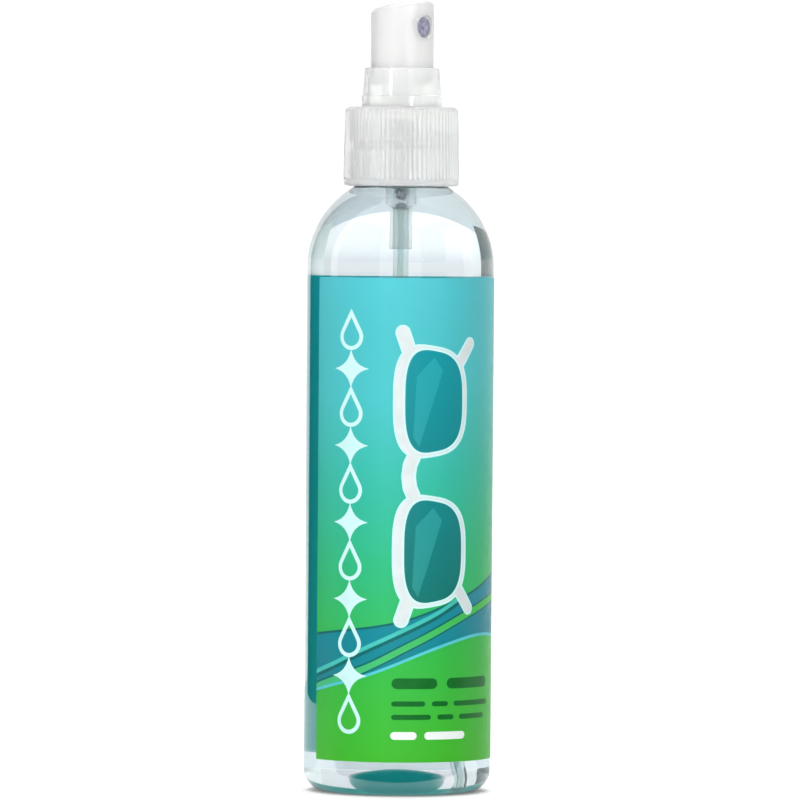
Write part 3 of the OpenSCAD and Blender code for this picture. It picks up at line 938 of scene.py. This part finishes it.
def make_head(material):
    """Button with a dished sloping face, a boss for the stem, and a bored boss for the nozzle."""
    rim = 1.15
    dish, dish_r = 0.45, 5.2
    inner_r = HEAD_R - HEAD_WALL
    roof = 1.1
    row_step = 1.5
    smooth_deg = 40

    def tilted(angle, r, z, row):
        """Points above half height follow the sloping face."""
        share = max(0.0, min(1.0, (z - (HEAD_LOW + 6)) / 8))
        return r, z + share * slope_rise(r * math.cos(angle), r * math.sin(angle))

    face_rows = (dish_r, 4.4, 3.6, 2.8, 2.0, 1.2, 0.6, 0.0)
    face = [(r, HEAD_TOP - dish * (1 - (r / dish_r) ** 2) ** 2) for r in face_rows]
    outside = [(HEAD_R - 0.3, HEAD_LOW), (HEAD_R - 0.09, HEAD_LOW + 0.09), (HEAD_R, HEAD_LOW + 0.3)]
    outside += [(HEAD_R, z) for z in wall_rows(HEAD_LOW + 1.5, HEAD_TOP - rim, row_step)]
    outside += arc(HEAD_R - rim, HEAD_TOP - rim, rim, 0, 90, 8)[1:]
    ceiling = HEAD_TOP - roof
    inside = [(0.0, STEM_TOP + 0.1), (STEM_SOCKET_R, STEM_TOP + 0.1), (STEM_SOCKET_R, BOSS_LOW + 0.5)]
    inside += [(STEM_SOCKET_R + 0.35, BOSS_LOW), (BOSS_R - 0.2, BOSS_LOW), (BOSS_R, BOSS_LOW + 0.2)]
    inside += [(BOSS_R, z) for z in wall_rows(BOSS_LOW + 1, ceiling - 0.8, row_step)]
    inside += [(BOSS_R + 0.25, ceiling - 0.15), (BOSS_R + 0.8, ceiling), (inner_r - 0.9, ceiling)]
    inside += arc(inner_r - 0.6, ceiling - 0.6, 0.6, 80, 0, 5)
    inside += [(inner_r, z) for z in wall_rows(HEAD_LOW + 1, ceiling - 1.5, row_step)[::-1]]
    inside += [(inner_r, HEAD_LOW + 0.3), (inner_r + 0.12, HEAD_LOW + 0.08), (inner_r + 0.3, HEAD_LOW)]
    head = lathe("mist_head", outside + face + inside, 128, tilted, smooth_deg=smooth_deg)
    boolean(head, nozzle_cylinder("nozzle_boss", RECESS_R + 0.7, BOSS_R - 0.6, inner_r + 0.4), "UNION")
    boolean(head, nozzle_cylinder("recess", RECESS_R, HEAD_R - 1, HEAD_R + 1, 64), "DIFFERENCE")
    boolean(head, nozzle_cylinder("pocket", INSERT_R + 0.02, 3.6, HEAD_R, 64), "DIFFERENCE")
    boolean(head, nozzle_cylinder("channel", 0.6, 0, 4), "DIFFERENCE")
    head.data.shade_smooth()
    head.data.set_sharp_from_angle(angle=math.radians(smooth_deg))
    settle(head, "mist_head", "white_head", material, "head")


def make_insert(material):
    """The cup with its spray hole, made about Z and laid along the nozzle's axis."""
    face_x, back_x = 6.6, 3.9
    hole_r, swirl_r, swirl_x = 0.2, 1.3, face_x - 0.9
    groove_x = face_x - 0.12
    profile = rounded([
        (hole_r, swirl_x, 0.04), (hole_r, face_x - 0.42, 0.05), (0.5, face_x - 0.34, 0.1),
        (1.15, face_x, 0.12), (1.45, face_x, 0.06), (1.5, groove_x, 0.05), (1.62, groove_x, 0.05),
        (1.67, face_x, 0.06), (INSERT_R, face_x, 0.2), (INSERT_R, back_x, 0.15),
        (swirl_r, back_x, 0.15), (swirl_r, swirl_x, 0.1),
    ])
    insert = lathe("nozzle_insert_cup", profile, 64)
    turn = Matrix.Rotation(NOZZLE_TURN, 4, "Z") @ Matrix.Translation((0, 0, NOZZLE_Z * MM))
    insert.data.transform(turn @ Matrix.Rotation(math.pi / 2, 4, "Y"))
    settle(insert, "mist_head", "grey_insert", material, "nozzle_insert")


# ---------------------------------------------------------------- dip tube and spring

def make_tube(material):
    """A bent tube with a drawn bore, cut on the slant at its foot."""
    bend = math.asin((TUBE_BEND_Z - TUBE_LOW) / TUBE_BEND_R)
    foot = TUBE_BEND_R * (1 - math.cos(bend))
    bm = bmesh.new()
    sides, steps = 40, 48
    rings = []
    for k in range(steps + 3):
        if k < 2:
            a, top = 0.0, TUBE_TOP - (TUBE_TOP - TUBE_BEND_Z) * k / 2
            centre = Vector((0, 0, top))
        else:
            a = bend * (k - 2) / steps
            centre = Vector((TUBE_BEND_R * (1 - math.cos(a)), 0, TUBE_BEND_Z - TUBE_BEND_R * math.sin(a)))
        side = Vector((math.cos(a), 0, math.sin(a)))
        down = Vector((math.sin(a), 0, -math.cos(a)))
        ring = []
        for radius in (TUBE_R, TUBE_BORE_R):
            for s in range(sides):
                t = 2 * math.pi * s / sides
                point = centre + radius * (math.cos(t) * side + math.sin(t) * Vector((0, 1, 0)))
                if k == steps + 2:
                    point -= down * max(0.0, (foot - point.x) * 0.7)
                ring.append(bm.verts.new(point))
        rings.append(ring)
    for here, there in zip(rings, rings[1:]):
        for skin in (0, sides):
            for s in range(sides):
                n = (s + 1) % sides
                bm.faces.new((here[skin + s], here[skin + n], there[skin + n], there[skin + s]))
    for ring in (rings[0], rings[-1]):
        for s in range(sides):
            n = (s + 1) % sides
            bm.faces.new((ring[s], ring[n], ring[sides + n], ring[sides + s]))
    tube = to_object("bent_dip_tube", bm)
    settle(tube, "pump", "clear_tube", material, "dip_tube")


def make_spring(material):
    """Coil spring with a closed turn at each end."""
    end_pitch = WIRE_D + 0.1
    length = SPRING_TOP - SPRING_LOW - WIRE_D
    open_pitch = (length - 2 * end_pitch) / (SPRING_TURNS - 2)
    per_turn = 40
    path = []
    for i in range(SPRING_TURNS * per_turn + 1):
        turn = i / per_turn
        rise = end_pitch * min(turn, 1) + open_pitch * max(0, min(turn - 1, SPRING_TURNS - 2))
        rise += end_pitch * max(0, turn - SPRING_TURNS + 1)
        a = 2 * math.pi * turn
        path.append(Vector((SPRING_R * math.cos(a), SPRING_R * math.sin(a), SPRING_LOW + WIRE_D / 2 + rise)))

    def cross(i):
        """The wire's outward and upward axes."""
        a = 2 * math.pi * i / per_turn
        return Vector((math.cos(a), math.sin(a), 0)), Vector((0, 0, 1))

    spring = sweep("coil_spring", path, cross, WIRE_D / 2, 12)
    settle(spring, "pump", "stainless", material, "return_spring")
    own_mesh(spring)


# ---------------------------------------------------------------- build the object

natural = natural_plastic("natural_closure_plastic", (254, 255, 254), 0.68, 0.12, 1.24)
white = natural_plastic("white_head_plastic", (244, 244, 243), 0.55, 0.35, 1.4)
wetted = natural_plastic("natural_pump_plastic", (252, 255, 254), 0.86, 0.4, 1.05)
clear_tube = natural_plastic("clear_tube_plastic", (226, 240, 238), 0.92, 0.06, 1.12)
steel = steel_material()

make_bottle(pet_material())
make_fluid(fluid_material())
make_label(label_inks())
make_closure(natural)
make_head(white)
make_insert(insert_material())
make_tube(clear_tube)
make_spring(steel)

kept = {
    "gasket": foam_material(),
    "pump_housing": wetted,
    "turret": natural,
    "stem_seal": rubber_material(),
    "inlet_ball": steel,
    "stem_poppet": wetted,
    "piston": wetted,
    "stem": white,
}
for name, material in kept.items():
    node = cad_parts[name]
    for material_slot in node.material_slots:
        material_slot.material = material


# ---------------------------------------------------------------- studio, in metres

FLOOR_R = 9.0
FLOOR_SIDES = 64
CARD_LOW = 0.001
CARD_TOP = 1.2
TABLE_CARD_Z = 0.0006
SPOT_TARGET = (0, 0, 0.17)
SPOT_CONE_DEG = 3.4
CAMERA_PLACE = Vector((0, -1.93, 0.144))
CAMERA_TARGET = Vector((0.0001, 0, 0.0914))
CAMERA_ROLL_DEG = 0.44
CAMERA_LENS_MM = 371.5
WORLD_STRENGTH = 1.06


def stage_object(name, outline, material):
    """A flat polygon of the studio, which isn't part of the object."""
    mesh = bpy.data.meshes.new(name)
    mesh.from_pydata(outline, [], [tuple(range(len(outline)))])
    mesh.materials.append(material)
    obj = bpy.data.objects.new(name, mesh)
    bpy.context.scene.collection.objects.link(obj)
    return obj


def paper_material(name, glow):
    """White studio paper. glow keeps its far parts as bright as the world."""
    s = Surface(name, (248, 248, 248), 0.9)
    s.bump(s.noise(300, 2.0), 0.02, 0.2)
    s.set("Specular IOR Level", 0.1)
    s.set("Emission Color", (1, 1, 1, 1))
    s.set("Emission Strength", glow)
    return s.material


def make_floor():
    """A wide round white floor. The white world is the backdrop, so that no side is hidden."""
    turns = [2 * math.pi * k / FLOOR_SIDES for k in range(FLOOR_SIDES)]
    rim = [(FLOOR_R * math.cos(a), FLOOR_R * math.sin(a), 0) for a in turns]
    stage_object("studio_floor", rim, paper_material("floor_paper", 0.12))


def make_card(name, outline, shade, fills=False):
    """A matt card that the camera doesn't see. Gloss and glass do.

    With fills it shades the bottle from the room instead, and glass doesn't see it.
    """
    s = Surface(name + "_grey", shade, 1.0)
    s.set("Specular IOR Level", 0.0)
    card = stage_object(name, outline, s.material)
    card.visible_camera = False
    card.visible_diffuse = fills
    card.visible_transmission = not fills
    card.visible_shadow = False


def upright_card(name, bearing_deg, distance, half_width, shade, fills=False):
    """A standing card at a bearing from straight behind the bottle."""
    a = math.radians(bearing_deg)
    middle = Vector((math.sin(a), math.cos(a), 0)) * distance
    side = Vector((math.cos(a), -math.sin(a), 0)) * half_width
    low, high = Vector((0, 0, CARD_LOW)), Vector((0, 0, CARD_TOP))
    outline = [middle - side + low, middle + side + low, middle + side + high, middle - side + high]
    make_card(name, outline, shade, fills)


def table_card(name, near, far, wide, shade):
    """A card lying just over the floor, from near to far behind the bottle's axis."""
    z = TABLE_CARD_Z
    make_card(name, [(-wide, near, z), (wide, near, z), (wide, far, z), (-wide, far, z)], shade)


def place_light(name, data, watts, place, target):
    """A light of the given data, aimed at a point."""
    data.energy = watts
    light = bpy.data.objects.new(name, data)
    light.location = place
    light.rotation_euler = (Vector(target) - Vector(place)).to_track_quat("-Z", "Y").to_euler()
    bpy.context.scene.collection.objects.link(light)
    return light


def area_light(name, place, target, size, watts):
    """A square softbox that doesn't mirror in the bottle or show through it."""
    data = bpy.data.lights.new(name, "AREA")
    data.shape = "RECTANGLE"
    data.size, data.size_y = size
    light = place_light(name, data, watts, place, target)
    light.visible_glossy = False
    light.visible_transmission = False


def sprayer_spot(name, place, watts):
    """A soft narrow spot on the closure and the head."""
    data = bpy.data.lights.new(name, "SPOT")
    data.spot_size = math.radians(SPOT_CONE_DEG)
    data.spot_blend = 0.4
    data.shadow_soft_size = 0.03
    place_light(name, data, watts, place, SPOT_TARGET)


def make_camera():
    """At the photograph's height and distance, with the slight roll that makes the bottle lean."""
    data = bpy.data.cameras.new("camera")
    data.lens = CAMERA_LENS_MM
    data.sensor_width = 36
    data.clip_end = 20
    camera = bpy.data.objects.new("camera", data)
    roll = Matrix.Rotation(math.radians(CAMERA_ROLL_DEG), 4, "Z")
    aim = (CAMERA_TARGET - CAMERA_PLACE).to_track_quat("-Z", "Y").to_matrix().to_4x4()
    camera.matrix_world = Matrix.Translation(CAMERA_PLACE) @ aim @ roll
    bpy.context.scene.collection.objects.link(camera)
    bpy.context.scene.camera = camera


scene = bpy.context.scene
scene.world = bpy.data.worlds.new("studio")
scene.world.use_nodes = True
background = scene.world.node_tree.nodes["Background"]
background.inputs["Color"].default_value = (1, 1, 1, 1)
background.inputs["Strength"].default_value = WORLD_STRENGTH
scene.view_settings.view_transform = "Standard"
scene.cycles.max_bounces = 24
scene.cycles.transmission_bounces = 24
scene.cycles.glossy_bounces = 8
scene.cycles.transparent_max_bounces = 16

make_floor()
upright_card("left_flag", -60, 0.32, 0.155, (10, 12, 13))
upright_card("right_flag", 57, 0.32, 0.163, (232, 238, 234))
upright_card("front_left_flag", -125, 0.9, 0.5, (8, 9, 9), fills=True)
upright_card("front_right_flag", 125, 0.9, 0.5, (8, 9, 9), fills=True)
table_card("table_card", 0.022, 0.37, 0.5, (206, 214, 215))
table_card("base_flag", -0.12, -0.024, 0.3, (8, 9, 9))
area_light("key", (-0.25, -1.7, 0.55), (0, 0, 0.09), (0.7, 0.7), 10)
area_light("top", (0, 0.2, 1.5), (0, 0.2, 0), (1.2, 1.2), 16)
sprayer_spot("left_spot", (-0.8, -1.2, 0.55), 31)
sprayer_spot("right_spot", (0.7, -1.3, 0.4), 29)
make_camera()
